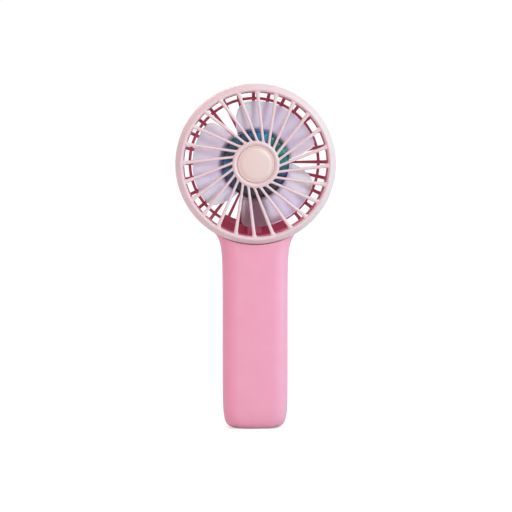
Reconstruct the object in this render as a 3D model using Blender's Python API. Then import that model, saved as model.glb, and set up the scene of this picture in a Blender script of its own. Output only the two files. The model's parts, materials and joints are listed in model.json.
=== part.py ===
"""Handheld electric fan: a round caged head on a flat-bottomed handle.

Frame: origin at the centre of the handle's flat bottom, +Z up through the handle and head, the air
outlet (front grille) towards -Y, +X to the right as seen from the front. The solids are drawn in
millimetres and turned into metres at the end of finish().
"""

import math

import bmesh
import bpy
from mathutils import Matrix, Vector

# ---------------------------------------------------------------- driving dimensions, millimetres
HEAD_Z = 157.5            # height of the impeller axis
RIM_R = 47.5              # outer radius of the front grille's rim
RIM_IN_R = 42.7           # inner radius of the rim's front edge
FRONT_Y = -18.0           # foremost point, the crown of the badge
BACK_Y = 18.0             # rearmost point, the crown of the motor mount
RIB_COUNT = 24
RIB_OFFSET = 5.85         # each rib's centre line passes this far from the head's axis
RIB_PHASE = -1.0          # degrees, where the first rib meets the rim
RIB_FRONT_Y, RIB_BACK_Y = -17.1, -15.0
HUB_RING_R, HUB_RECESS_R = 13.9, 11.4
BADGE_R = 11.0

DRUM_R, BORE_R = 46.7, 43.3   # the shells' ring around the impeller
DRUM_HALF = 9.0
POCKET_R = 47.9               # recess in the neck that the grille rims drop into
SEAM_GAP = 0.3                # between the two shells
CLEAR = 0.3                   # between pieces that rest on each other

SPOKE_COUNT = 28
SPOKE_PHASE = 0.6
SPOKE_WIDTH = 1.7
WEDGE = (254.5, 285.5)        # wide spoke that carries the motor leads, degrees
NECK_PANEL = (241.0, 297.0)   # closed part of the rear grille above the neck, degrees

BLADE_COUNT = 3
BLADE_TIP_R = 37.2
HUB_R = 20.0

HANDLE_DEPTH = 14.0           # half the handle's thickness
CORNER_R = 9.0                # soft vertical edges of the handle
WALL = 2.0
BATTERY_R, BATTERY_L = 9.2, 65.0
BATTERY_Z0 = 5.6
SCREW_X, SCREW_Z = 14.0, (10.0, 101.0)
BUTTON_Z, LED_Z, USB_Z = 97.5, 86.5, 77.5
BUTTON_R = 5.8
PCB_FRONT_Y, PCB_BACK_Y = 5.4, 6.6

# Handle stations: height and half-width. The foot is rounded, the shaft is nearly parallel and the
# neck flares out to meet the head.
STATIONS = (
    (0.0, 13.4), (0.6, 15.2), (2.0, 16.9), (4.5, 18.1), (8.0, 18.8), (13.0, 19.2), (92.0, 19.45),
    (101.0, 19.7), (105.0, 20.0), (108.5, 20.55), (111.5, 21.4), (114.0, 22.5), (116.0, 23.9),
    (118.0, 26.0),
)

FINE, MEDIUM, COARSE = 36, 24, 12   # sides of large, middling and small round pieces


# ---------------------------------------------------------------- scene and materials
for old in list(bpy.data.objects):
    bpy.data.objects.remove(old, do_unlink=True)


def material(name, color, roughness=0.5, metallic=0.0, alpha=1.0):
    found = bpy.data.materials.get(name)
    if found:
        return found
    mat = bpy.data.materials.new(name)
    mat.use_nodes = True
    shader = mat.node_tree.nodes["Principled BSDF"]
    shader.inputs["Base Color"].default_value = (*color, 1.0)
    shader.inputs["Roughness"].default_value = roughness
    shader.inputs["Metallic"].default_value = metallic
    shader.inputs["Alpha"].default_value = alpha
    mat.diffuse_color = (*color, alpha)
    return mat


PALE = material("pale_pink_plastic", (0.80, 0.62, 0.62), 0.38)
PINK = material("pink_plastic", (0.80, 0.35, 0.47), 0.40)
DEEP_PINK = material("grille_pink_plastic", (0.55, 0.12, 0.22), 0.40)
LAVENDER = material("pearl_lavender_plastic", (0.60, 0.52, 0.68), 0.22)
STEEL = material("steel", (0.60, 0.60, 0.62), 0.30, 1.0)
DARK_STEEL = material("silicon_steel", (0.20, 0.20, 0.22), 0.45, 1.0)
MAGNET = material("bonded_magnet", (0.05, 0.05, 0.06), 0.6)
BRONZE = material("sintered_bronze", (0.50, 0.33, 0.16), 0.5, 1.0)
COPPER = material("enamelled_copper", (0.60, 0.25, 0.12), 0.3, 1.0)
NICKEL = material("nickel", (0.66, 0.63, 0.58), 0.3, 1.0)
BOARD = material("circuit_board", (0.02, 0.16, 0.07), 0.45)
BLACK = material("black_plastic", (0.02, 0.02, 0.02), 0.5)
WHITE = material("white_plastic", (0.80, 0.80, 0.78), 0.4)
CLEAR_PLASTIC = material("clear_plastic", (0.85, 0.85, 0.88), 0.1, 0.0, 0.6)
WRAP = material("cell_wrap", (0.05, 0.28, 0.42), 0.35)
RED = material("red_insulation", (0.55, 0.02, 0.02), 0.5)
FOAM = material("foam", (0.10, 0.10, 0.10), 0.9)


# ---------------------------------------------------------------- mesh helpers, in millimetres
def to_object(name, bm):
    bmesh.ops.remove_doubles(bm, verts=bm.verts, dist=1e-5)
    bmesh.ops.recalc_face_normals(bm, faces=bm.faces)
    mesh = bpy.data.meshes.new(name)
    bm.to_mesh(mesh)
    bm.free()
    obj = bpy.data.objects.new(name, mesh)
    bpy.context.scene.collection.objects.link(obj)
    return obj


def polar(radius, degrees, y, centre_z=HEAD_Z):
    """A point at a polar position around the head's axis, as seen from the front."""
    a = math.radians(degrees)
    return Vector((radius * math.cos(a), y, centre_z + radius * math.sin(a)))


def revolve(name, profile, sides, start=0.0, sweep=360.0, place=polar):
    """Turns a closed (radius, y) outline around an axis; ends at radius 0 become poles."""
    bm = bmesh.new()
    full = abs(sweep - 360.0) < 1e-6
    count = sides if full else sides + 1
    rings = []
    for i in range(count):
        a = start + sweep * i / sides
        ring = []
        for j, (r, y) in enumerate(profile):
            if r < 1e-6 and i > 0:
                ring.append(rings[0][j])
            else:
                ring.append(bm.verts.new(place(r, a, y)))
        rings.append(ring)
    n = len(profile)
    for i in range(sides):
        one, two = rings[i], rings[(i + 1) % count]
        for j in range(n):
            k = (j + 1) % n
            corners = []
            for v in (one[j], one[k], two[k], two[j]):
                if v not in corners:
                    corners.append(v)
            if len(corners) > 2:
                bm.faces.new(corners)
    if not full:
        bm.faces.new(rings[0])
        bm.faces.new(rings[-1])
    return to_object(name, bm)


def tube(name, inner, outer, y0, y1, sides, place=polar, start=0.0):
    return revolve(name, [(inner, y0), (outer, y0), (outer, y1), (inner, y1)], sides, start, place=place)


def disc(name, radius, y0, y1, sides, place=polar, start=0.0):
    """A plain cylinder with flat many-sided ends."""
    return loft(name, [[place(radius, start + 360.0 * i / sides, y) for i in range(sides)] for y in (y0, y1)])


def about_y(x, z):
    """Place function for something turned about an axis along Y at (x, z)."""
    def place(r, degrees, y):
        a = math.radians(degrees)
        return Vector((x + r * math.cos(a), y, z + r * math.sin(a)))
    return place


def about_z(x, y):
    """Place function for something turned about an upright axis; the outline's y is its height."""
    def place(r, degrees, h):
        a = math.radians(degrees)
        return Vector((x + r * math.cos(a), y + r * math.sin(a), h))
    return place


def loft(name, loops):
    """Skins closed loops of equal point count and closes both ends."""
    bm = bmesh.new()
    rows = [[bm.verts.new(p) for p in loop] for loop in loops]
    n = len(rows[0])
    for lower, upper in zip(rows, rows[1:]):
        for j in range(n):
            k = (j + 1) % n
            bm.faces.new((lower[j], lower[k], upper[k], upper[j]))
    bm.faces.new(rows[0])
    bm.faces.new(rows[-1])
    return to_object(name, bm)


def box(name, low, high):
    (x0, y0, z0), (x1, y1, z1) = low, high
    return loft(name, [
        [Vector((x0, y0, z)), Vector((x1, y0, z)), Vector((x1, y1, z)), Vector((x0, y1, z))]
        for z in (z0, z1)])


def prism(name, outline, low, high, axis="Y"):
    """Extrudes a closed outline. For axis Y the outline is (x, z); for Z it is (x, y)."""
    def at(p, h):
        return Vector((p[0], h, p[1])) if axis == "Y" else Vector((p[0], p[1], h))
    return loft(name, [[at(p, h) for p in outline] for h in (low, high)])


def bake(obj):
    """Replaces an object's mesh by the result of its modifiers."""
    bpy.context.view_layer.update()
    graph = bpy.context.evaluated_depsgraph_get()
    mesh = bpy.data.meshes.new_from_object(obj.evaluated_get(graph))
    obj.modifiers.clear()
    obj.data = mesh
    return obj


def combine(obj, operation, *tools):
    for tool in tools:
        mod = obj.modifiers.new("combine", "BOOLEAN")
        mod.operation = operation
        mod.object = tool
        mod.solver = "EXACT"
        bake(obj)
        bpy.data.objects.remove(tool, do_unlink=True)
    return obj


def join(*objs):
    """Puts bodies that don't touch into one mesh, to be used together as one tool."""
    bm = bmesh.new()
    for obj in objs:
        bm.from_mesh(obj.data)
    name = objs[0].name
    for obj in objs:
        bpy.data.objects.remove(obj, do_unlink=True)
    return to_object(name + "_group", bm)


def finish(obj, name, mat, origin=(0.0, 0.0, 0.0), parent=None, angle=32.0):
    """Names a piece, gives it its material, and turns it from millimetres into metres."""
    obj.name = name
    mesh = obj.data
    mesh.name = name
    start = Vector(origin)
    mesh.transform(Matrix.Scale(0.001, 4) @ Matrix.Translation(-start))
    mesh.materials.clear()
    mesh.materials.append(mat)
    mesh.shade_smooth()
    mesh.set_sharp_from_angle(angle=math.radians(angle))
    obj.location = start * 0.001
    if parent is not None:
        obj.parent = parent
        obj.location = start * 0.001 - parent.location
    return obj


def axis_empty(name, at):
    empty = bpy.data.objects.new(name, None)
    empty.empty_display_size = 0.01
    empty.location = Vector(at) * 0.001
    bpy.context.scene.collection.objects.link(empty)
    return empty


# ---------------------------------------------------------------- handle sections
def section(half_w, half_d, corner, z, per_corner=4):
    """A rounded rectangle at height z, counter-clockwise from above."""
    points = []
    for quadrant, (sx, sy) in enumerate(((1, 1), (-1, 1), (-1, -1), (1, -1))):
        for i in range(per_corner + 1):
            a = math.radians(90.0 * quadrant + 90.0 * i / per_corner)
            points.append(Vector((
                sx * (half_w - corner) + corner * math.cos(a),
                sy * (half_d - corner) + corner * math.sin(a), z)))
    return points


def handle_loops(inset, z_low=None, z_high=None):
    """Loops of the handle, drawn in by inset and cut off between two heights."""
    rows = []
    stations = list(STATIONS)
    low = stations[0][0] if z_low is None else z_low
    high = stations[-1][0] if z_high is None else z_high

    def width_at(z):
        for (z0, w0), (z1, w1) in zip(stations, stations[1:]):
            if z0 <= z <= z1:
                return w0 + (w1 - w0) * (z - z0) / (z1 - z0)
        return stations[-1][1]

    heights = [low] + [z for z, _ in stations if low + 0.4 < z < high - 0.4] + [high]
    for z in heights:
        w = min(width_at(z), 19.9) if inset else width_at(z)
        # the depth follows the width at the foot, then stays constant
        d = HANDLE_DEPTH - max(0.0, 19.1 - w) * 0.86 if z < 20.0 else HANDLE_DEPTH
        corner = min(CORNER_R, d - 1.5)
        rows.append(section(w - inset, d - inset, max(2.0, corner - inset), z))
    return rows


# ================================================================ front grille
rim_profile = [
    (42.9, -9.3), (RIM_IN_R, -15.8), (43.6, -17.3), (44.8, -17.3), (46.5, -15.6), (RIM_R, -13.0), (47.4, -9.3),
    (45.9, -9.3), (45.9, -13.4), (44.4, -13.4), (44.4, -9.3),
]
hub_profile = [
    (0, -15.2), (HUB_RECESS_R, -15.2), (HUB_RECESS_R, -17.3), (12.6, -17.7), (HUB_RING_R, -16.9),
    (HUB_RING_R, -14.2), (0, -14.2),
]
grille = join(revolve("rim", rim_profile, FINE, 3.75), revolve("hub", hub_profile, MEDIUM, 3.75))

ribs = []
for k in range(RIB_COUNT):
    end = math.radians(15.0 * k + RIB_PHASE)
    outer_r, inner_r = 43.9, 12.7
    # a straight rib whose centre line is tangent to the circle of radius RIB_OFFSET
    turn = end + math.asin(RIB_OFFSET / outer_r)
    along = Vector((math.cos(turn), 0, math.sin(turn)))
    side = Vector((math.sin(turn), 0, -math.cos(turn)))
    centre = Vector((0, 0, HEAD_Z)) + side * RIB_OFFSET
    reach = [math.sqrt(r * r - RIB_OFFSET ** 2) for r in (inner_r, outer_r)]
    loops = []
    for distance, half in zip(reach, (0.75, 1.15)):
        p = centre + along * distance
        loops.append([
            p - side * half + Vector((0, RIB_BACK_Y, 0)), p + side * half + Vector((0, RIB_BACK_Y, 0)),
            p + side * half * 0.8 + Vector((0, RIB_FRONT_Y, 0)),
            p - side * half * 0.8 + Vector((0, RIB_FRONT_Y, 0))])
    ribs.append(loft("rib", loops))
combine(grille, "UNION", join(*ribs))
finish(grille, "front_grille", PALE)

badge = revolve("badge", [
    (0, -15.5), (BADGE_R, -15.5), (BADGE_R, -16.9), (9.8, -17.5), (6.0, -17.85), (0, FRONT_Y)], 28)
finish(badge, "grille_badge", PALE)

# ================================================================ handle and head shells
body = loft("body", handle_loops(0.0))
combine(body, "UNION", disc("drum", DRUM_R, -9.6, 9.6, FINE, start=3.75))
combine(body, "DIFFERENCE", disc("bore", BORE_R, -40, 40, FINE, start=1.1))
combine(body, "DIFFERENCE", disc("front_pocket", POCKET_R, -40, -DRUM_HALF, FINE, start=2.3))
combine(body, "DIFFERENCE", disc("rear_pocket", POCKET_R, DRUM_HALF, 40, FINE, start=2.3))
# tongues that enter the grooves behind the two grille rims
combine(body, "UNION", tube("front_tongue", 44.7, 45.6, -12.6, -8.0, FINE, start=3.75))
combine(body, "UNION", tube("rear_tongue", 44.7, 45.6, 8.0, 12.6, FINE, start=3.75))

# The inside of the handle: a smooth cavity less the cell's cradles and the screw bosses
cavity = loft("cavity", handle_loops(WALL, 2.3, 106.0))
cradles = []
for z in (18.0, 38.0, 58.0):
    plate = box("cradle", (-25, -20, z), (25, 20, z + 1.6))
    combine(plate, "DIFFERENCE", disc("cell_hole", BATTERY_R + 0.3, z - 2, z + 4, MEDIUM, about_z(0, 0), 3.0))
    combine(plate, "DIFFERENCE", disc("lead_hole", 1.2, z - 2, z + 4, 10, about_z(7.55, -7.0), 3.0))
    cradles.append(plate)
combine(cavity, "DIFFERENCE", join(*cradles))
bosses = [disc("boss", 2.75, -22, 22, COARSE, about_y(sx * SCREW_X, z), 5.0)
          for sx in (-1, 1) for z in SCREW_Z]
combine(cavity, "DIFFERENCE", join(*bosses))
combine(body, "DIFFERENCE", cavity)
# passage for the motor leads, from the handle into the head
combine(body, "DIFFERENCE", box("lead_passage", (-3.2, 2.6, 103.0), (3.2, 8.0, 118.0)))

pilots = [disc("pilot", 1.25, -9.2, 9.0, 12, about_y(sx * SCREW_X, z), 5.0)
          for sx in (-1, 1) for z in SCREW_Z]
combine(body, "DIFFERENCE", join(*pilots))

front = body
rear = bpy.data.objects.new("rear_half", body.data.copy())
bpy.context.scene.collection.objects.link(rear)
combine(front, "DIFFERENCE", box("behind", (-80, -SEAM_GAP / 2, -20), (80, 80, 260)))
combine(rear, "DIFFERENCE", box("ahead", (-80, -80, -20), (80, SEAM_GAP / 2, 260)))

counterbores = [
    revolve("counterbore", [(0, 8.0), (1.25, 8.0), (1.25, 9.4), (2.5, 9.4), (2.5, 20.0), (0, 20.0)],
            COARSE, 5.0, place=about_y(sx * SCREW_X, z))
    for sx in (-1, 1) for z in SCREW_Z]
combine(rear, "DIFFERENCE", join(*counterbores))
combine(rear, "DIFFERENCE", disc("button_hole", BUTTON_R + 0.35, 9.0, 20.0, MEDIUM, about_y(0, BUTTON_Z), 4.0))
combine(rear, "DIFFERENCE", join(*[
    disc("led_hole", 1.1, 9.0, 20.0, 12, about_y(x, LED_Z), 4.0) for x in (-4.5, 0.0, 4.5)]))


def oval(half_w, half_h, cx, cz, steps=5):
    points = []
    for quadrant, sx in ((-90, 1), (90, -1)):
        for i in range(steps + 1):
            a = math.radians(quadrant + 180.0 * i / steps)
            points.append((cx + sx * (half_w - half_h) + half_h * math.cos(a), cz + half_h * math.sin(a)))
    return points


combine(rear, "DIFFERENCE", prism("usb_hole", oval(5.0, 2.15, 0, USB_Z), 9.0, 20.0))
finish(front, "front_shell", PINK)
finish(rear, "rear_shell", PINK)

# ================================================================ rear grille
rear_rim = [
    (43.4, 9.3), (43.4, 13.6), (44.9, 15.0), (46.5, 14.3), (47.2, 12.2), (47.2, 9.3), (45.9, 9.3),
    (45.9, 12.9), (44.4, 12.9), (44.4, 9.3),
]
mount_profile = [
    (7.0, 15.0), (7.0, 8.0), (5.0, 8.0), (5.0, 14.5), (0, 14.5), (0, BACK_Y), (13.0, 17.5),
    (17.0, 15.6), (17.0, 6.6), (15.2, 6.6), (15.2, 15.0),
]
rear_grille = revolve("rear_rim", rear_rim, FINE, 3.75)
combine(rear_grille, "UNION", revolve("neck_panel", [
    (35.6, 14.3), (38.6, 13.9), (44.0, 11.1), (44.0, 13.4), (38.6, 16.0), (35.6, 16.5)],
    8, NECK_PANEL[0], NECK_PANEL[1] - NECK_PANEL[0]))
mount = revolve("mount", mount_profile, MEDIUM, 2.0)
combine(mount, "UNION", revolve("wedge", [(16.0, 14.7), (36.6, 14.7), (36.6, 16.7), (16.0, 16.7)],
                                5, WEDGE[0], WEDGE[1] - WEDGE[0]))
combine(rear_grille, "UNION", mount)
combine(rear_grille, "UNION", revolve(
    "guard_ring", [(37.75, 13.8), (39.35, 13.5), (39.45, 16.5), (37.75, 16.9)], FINE, 3.75))
spokes = []
for k in range(SPOKE_COUNT):
    degrees = SPOKE_PHASE + 360.0 * k / SPOKE_COUNT
    if WEDGE[0] - 3.0 < degrees < WEDGE[1] + 3.0:
        continue
    a = math.radians(degrees)
    out = Vector((math.cos(a), 0, math.sin(a)))
    side = Vector((-math.sin(a), 0, math.cos(a))) * (SPOKE_WIDTH / 2)
    outline = [(16.1, 14.9), (36.0, 14.9), (44.1, 11.3), (44.4, 13.6), (37.5, 17.1), (16.1, 17.25)]
    centre = Vector((0, 0, HEAD_Z))
    spokes.append(loft("spoke", [
        [centre + out * r + Vector((0, y, 0)) + s for r, y in outline] for s in (-side, side)]))
combine(rear_grille, "UNION", join(*spokes))
# covered duct on the wide spoke: the motor leads run inside it, out of the impeller's way
combine(rear_grille, "UNION", box("duct", (-4.2, 9.6, HEAD_Z - 38.8), (4.2, 15.6, HEAD_Z - 16.2)))
# hood over the gap between the neck and the duct
combine(rear_grille, "UNION", box("lead_hood", (-4.4, 5.2, HEAD_Z - 42.75), (4.4, 11.9, HEAD_Z - 38.3)))
combine(rear_grille, "DIFFERENCE", box("hood_passage", (-3.3, 6.2, HEAD_Z - 44.0), (3.3, 11.3, HEAD_Z - 39.0)))
combine(rear_grille, "DIFFERENCE", box("duct_passage", (-2.6, 10.8, HEAD_Z - 42.0), (2.6, 13.4, HEAD_Z - 12.0)))
finish(rear_grille, "rear_grille", DEEP_PINK)

# ================================================================ impeller and motor
HEAD = (0.0, 0.0, HEAD_Z)
spin = axis_empty("impeller_axis", HEAD)

hub_cup = revolve("hub_cup", [
    (0, -13.0), (15.5, -13.0), (18.3, -12.3), (19.7, -10.6), (HUB_R, -8.0), (HUB_R, 5.0), (18.4, 5.0),
    (18.4, -10.2), (17.4, -11.3), (0, -11.3)], FINE, 2.2)


def blade_edge(lead, r):
    """Angle of a blade's edge at radius r: the front edge is nearly radial, the rear one is swept."""
    t = (r - HUB_R) / (BLADE_TIP_R - HUB_R)
    if lead:
        return 8.0 + 9.0 * t
    return 120.5 - 17.5 * t ** 1.25


def blade_y(u, r):
    """Height of the blade's middle surface across its width; u is 0 at the front edge."""
    t = (r - HUB_R) / (BLADE_TIP_R - HUB_R)
    rise = 14.6 - 1.2 * t
    return -10.8 + rise * (0.82 * u + 0.18 * u * u)


blades = []
for b in range(BLADE_COUNT):
    turn = 120.0 * b - 8.0 * 0.0
    bm = bmesh.new()
    across, outward, half = 6, 3, 0.6
    layers = []
    for sign in (-1, 1):
        grid = []
        for j in range(outward + 1):
            r = 19.2 + (BLADE_TIP_R - 19.2) * j / outward
            row = []
            for i in range(across + 1):
                u = i / across
                edge = max(r, HUB_R)
                degrees = turn + blade_edge(True, edge) * (1 - u) + blade_edge(False, edge) * u
                row.append(bm.verts.new(polar(r, degrees, blade_y(u, edge) + sign * half)))
            grid.append(row)
        layers.append(grid)
    low, high = layers
    for grid in layers:
        for j in range(outward):
            for i in range(across):
                bm.faces.new((grid[j][i], grid[j][i + 1], grid[j + 1][i + 1], grid[j + 1][i]))
    for j in range(outward):
        for i in (0, across):
            bm.faces.new((low[j][i], low[j + 1][i], high[j + 1][i], high[j][i]))
    for i in range(across):
        for j in (0, outward):
            bm.faces.new((low[j][i], low[j][i + 1], high[j][i + 1], high[j][i]))
    bmesh.ops.triangulate(bm, faces=bm.faces)
    blades.append(to_object("blade", bm))
combine(hub_cup, "UNION", join(*blades))
finish(hub_cup, "impeller", LAVENDER, HEAD, spin)

yoke = revolve("yoke", [
    (1.75, -11.0), (16.9, -11.0), (18.1, -9.9), (18.1, 3.4), (17.2, 3.4), (17.2, -10.1),
    (3.2, -10.1), (3.2, -8.3), (1.75, -8.3)], 24, 2.2)
finish(yoke, "rotor_yoke", STEEL, HEAD, spin)
finish(tube("magnet", 15.3, 16.9, -7.6, 2.8, 24, start=2.2), "rotor_magnet", MAGNET, HEAD, spin)
shaft = revolve("shaft", [
    (0, -10.7), (1.5, -10.7), (1.5, 9.5), (1.0, 9.5), (1.0, 10.6), (1.5, 10.6),
    (1.5, 12.0), (0, 12.0)], 16)
finish(shaft, "motor_shaft", STEEL, HEAD, spin)
finish(tube("clip", 1.25, 2.5, 9.8, 10.3, 12), "shaft_clip", DARK_STEEL, HEAD, spin)

finish(revolve("bearing_tube", [
    (3.4, -7.4), (4.7, -7.4), (4.7, 14.2), (0, 14.2), (0, 13.3), (3.4, 13.3)], 16), "bearing_tube", WHITE)
finish(tube("front_bearing", 1.6, 3.1, -7.0, -3.0, 16), "front_bearing", BRONZE)
finish(tube("rear_bearing", 1.6, 3.1, 5.0, 9.0, 16), "rear_bearing", BRONZE)
finish(disc("thrust_pad", 3.0, 12.3, 13.0, 12), "thrust_pad", BLACK)

# Stator: a four-pole laminated core with a coil on each arm
outline = []
for pole in range(4):
    base = 90.0 * pole + 45.0

    def at(r, degrees, across=None):
        a = math.radians(base + degrees)
        return (r * math.cos(a), HEAD_Z + r * math.sin(a))

    arm = 1.6
    neck_in = math.degrees(math.asin(arm / 7.2))
    neck_out = math.degrees(math.asin(arm / 12.7))
    outline += [at(7.2, -neck_in), at(12.7, -neck_out), at(12.9, -33), at(14.6, -34), at(14.6, -17),
                at(14.6, 0), at(14.6, 17), at(14.6, 34), at(12.9, 33), at(12.7, neck_out), at(7.2, neck_in)]
core = prism("core", outline, -5.5, 1.0)
combine(core, "DIFFERENCE", disc("core_bore", 5.1, -12, 12, 16))
finish(core, "stator_core", DARK_STEEL)

for pole in range(4):
    a = math.radians(90.0 * pole + 45.0)
    out = Vector((math.cos(a), 0, math.sin(a)))
    side = Vector((-math.sin(a), 0, math.cos(a)))
    middle = Vector((0, -2.25, HEAD_Z))

    def ring(r, half_side, half_y, cut):
        pts = []
        for s, y in ((half_side, half_y - cut), (half_side - cut, half_y), (cut - half_side, half_y),
                     (-half_side, half_y - cut), (-half_side, cut - half_y), (cut - half_side, -half_y),
                     (half_side - cut, -half_y), (half_side, cut - half_y)):
            pts.append(middle + out * r + side * s + Vector((0, y, 0)))
        return pts

    bm = bmesh.new()
    loops = [ring(7.9, 3.3, 5.0, 1.0), ring(11.4, 3.4, 5.0, 1.0), ring(11.4, 1.95, 3.6, 0.3),
             ring(7.9, 1.95, 3.6, 0.3)]
    rows = [[bm.verts.new(p) for p in loop] for loop in loops]
    for i in range(4):
        one, two = rows[i], rows[(i + 1) % 4]
        for j in range(8):
            k = (j + 1) % 8
            bm.faces.new((one[j], one[k], two[k], two[j]))
    finish(to_object("coil", bm), "stator_coil_%d" % (pole + 1), COPPER)

finish(tube("motor_pcb", 5.2, 14.4, 4.2, 5.2, 20), "motor_pcb", BOARD)

# ================================================================ power and controls in the handle
cell = revolve("cell", [
    (0, BATTERY_Z0), (BATTERY_R, BATTERY_Z0), (BATTERY_R, BATTERY_Z0 + 63.4), (8.4, BATTERY_Z0 + 64.0),
    (3.0, BATTERY_Z0 + 64.0), (3.0, BATTERY_Z0 + BATTERY_L), (0, BATTERY_Z0 + BATTERY_L)],
    MEDIUM, place=about_z(0, 0))
finish(cell, "battery_cell", WRAP)
finish(box("tab_low", (-3.0, -3.6, 4.7), (9.5, 3.6, 5.1)), "battery_tab_bottom", NICKEL)
finish(box("tab_high", (-3.0, -3.6, 71.0), (3.0, 3.6, 71.4)), "battery_tab_top", NICKEL)
finish(disc("pad", 9.0, 2.7, 4.3, 16, about_z(0, 0)), "battery_pad", FOAM)

finish(box("pcb", (-10.2, PCB_FRONT_Y, 73.0), (10.2, PCB_BACK_Y, 104.6)), "main_pcb", BOARD)

socket = prism("socket", oval(4.5, 1.65, 0, USB_Z), PCB_BACK_Y + CLEAR, 13.4)
combine(socket, "DIFFERENCE", prism("socket_mouth", oval(4.15, 1.3, 0, USB_Z), PCB_BACK_Y + 1.2, 15.0))
finish(socket, "usb_socket", STEEL)
finish(box("tongue", (-3.3, PCB_BACK_Y + 1.6, USB_Z - 0.35), (3.3, 12.7, USB_Z + 0.35)), "usb_tongue", BLACK)

switch = box("switch", (-3.0, PCB_BACK_Y + CLEAR, BUTTON_Z - 3.0), (3.0, 9.7, BUTTON_Z + 3.0))
combine(switch, "DIFFERENCE", disc("switch_well", 2.0, 7.9, 12.0, COARSE, about_y(0, BUTTON_Z), 5.0))
finish(switch, "tact_switch", BLACK)

press = axis_empty("button_axis", (0, 14.0, BUTTON_Z))
finish(revolve("plunger", [(0, 8.8), (1.6, 8.8), (1.6, 10.5), (0, 10.5)], COARSE, 5.0,
               place=about_y(0, BUTTON_Z)), "switch_plunger", WHITE, (0, 14.0, BUTTON_Z), press)
finish(revolve("button", [
    (0, 10.8), (7.1, 10.8), (7.1, 11.5), (BUTTON_R, 11.5), (BUTTON_R, 14.1), (5.2, 14.6), (0, 14.5)], MEDIUM, 4.0, place=about_y(0, BUTTON_Z)), "power_button", PALE, (0, 14.0, BUTTON_Z), press)

for i, x in enumerate((-4.5, 0.0, 4.5)):
    finish(box("led", (x - 0.8, PCB_BACK_Y + CLEAR, LED_Z - 0.4), (x + 0.8, 7.7, LED_Z + 0.4)),
           "led_%d" % (i + 1), WHITE)
pipe = box("pipe_bar", (-5.6, 9.4, LED_Z - 1.0), (5.6, 10.6, LED_Z + 1.0))
combine(pipe, "UNION", join(*[
    disc("pipe_pin", 0.8, 8.1, 14.0, 8, about_y(x, LED_Z), 4.0) for x in (-4.5, 0.0, 4.5)]))
finish(pipe, "light_pipe", CLEAR_PLASTIC)

finish(box("ic", (-8.6, 3.6, 88.0), (-4.4, 5.1, 93.0)), "charge_ic", BLACK)
finish(box("coil_block", (2.6, 2.3, 86.5), (8.4, 5.1, 92.3)), "power_inductor", DARK_STEEL)


def connector(name, cx, z0, z1):
    """A two-way header lying on the board's front face, open towards its leads."""
    shell = box("header", (cx - 2.9, 1.6, z0), (cx + 2.9, 5.1, z1))
    return finish(shell, name, WHITE)


connector("battery_connector", 4.2, 76.4, 80.6)
connector("motor_connector", 0.0, 97.4, 101.6)


# ---------------------------------------------------------------- leads
def catmull(points, per_span):
    """A smooth curve through the given points."""
    pts = [Vector(p) for p in points]
    pts = [pts[0] * 2 - pts[1]] + pts + [pts[-1] * 2 - pts[-2]]
    out = []
    for i in range(1, len(pts) - 2):
        p0, p1, p2, p3 = pts[i - 1], pts[i], pts[i + 1], pts[i + 2]
        for s in range(per_span):
            t = s / per_span
            out.append(0.5 * ((2 * p1) + (p2 - p0) * t + (2 * p0 - 5 * p1 + 4 * p2 - p3) * t * t
                              + (3 * p1 - p0 - 3 * p2 + p3) * t ** 3))
    out.append(pts[-2])
    return out


def lead(name, points, mat, radius=0.5, per_span=2):
    curve = bpy.data.curves.new(name, "CURVE")
    curve.dimensions = "3D"
    curve.bevel_depth = radius * 0.001
    curve.bevel_resolution = 2
    curve.use_fill_caps = True
    path = catmull(points, per_span)
    spline = curve.splines.new("POLY")
    spline.points.add(len(path) - 1)
    for point, p in zip(spline.points, path):
        point.co = (p.x * 0.001, p.y * 0.001, p.z * 0.001, 1.0)
    curve.materials.append(mat)
    obj = bpy.data.objects.new(name, curve)
    bpy.context.scene.collection.objects.link(obj)
    return obj


for name, sx, mat in (("motor_lead_red", -1, RED), ("motor_lead_black", 1, BLACK)):
    lead(name, [
        (sx * 1.2, 3.6, 102.0), (sx * 1.2, 4.2, 105.5), (sx * 1.2, 5.2, 110.0), (sx * 1.2, 6.5, 113.6),
        (sx * 1.2, 8.8, 116.0), (sx * 1.2, 11.2, 118.0), (sx * 1.2, 12.1, 121.0), (sx * 1.2, 12.1, 136.0),
        (sx * 1.2, 11.9, 142.0), (sx * 1.2, 9.2, 145.4), (sx * 1.2, 5.7, 146.4)], mat)

lead("battery_lead_red", [
    (2.0, 1.2, 71.9), (2.2, 0.4, 73.2), (2.6, 1.6, 74.6), (3.0, 3.0, 76.0)], RED)
lead("battery_lead_black", [
    (8.0, -4.6, 4.9), (7.8, -6.6, 6.4), (7.55, -7.0, 12.0), (7.55, -7.0, 18.5), (7.55, -7.0, 38.5),
    (7.55, -7.0, 58.5), (7.6, -6.9, 66.0), (7.8, -4.4, 72.0), (6.4, 0.4, 74.6), (5.4, 3.0, 76.0)],
    BLACK, per_span=2)

# ---------------------------------------------------------------- case screws
for i, (sx, z) in enumerate(((sx, z) for z in SCREW_Z for sx in (-1, 1))):
    finish(revolve("screw", [
        (0, -8.8), (0.95, -8.0), (0.95, 9.7), (2.1, 9.7), (2.1, 10.4), (0, 11.1)],
        10, 5.0, place=about_y(sx * SCREW_X, z)), "case_screw_%d" % (i + 1), DARK_STEEL)
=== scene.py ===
"""Looks of the handheld fan: fine shells, grilles, impeller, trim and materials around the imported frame."""

import json
import math

import bmesh
import bpy
from mathutils import Matrix, Vector, noise


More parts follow.
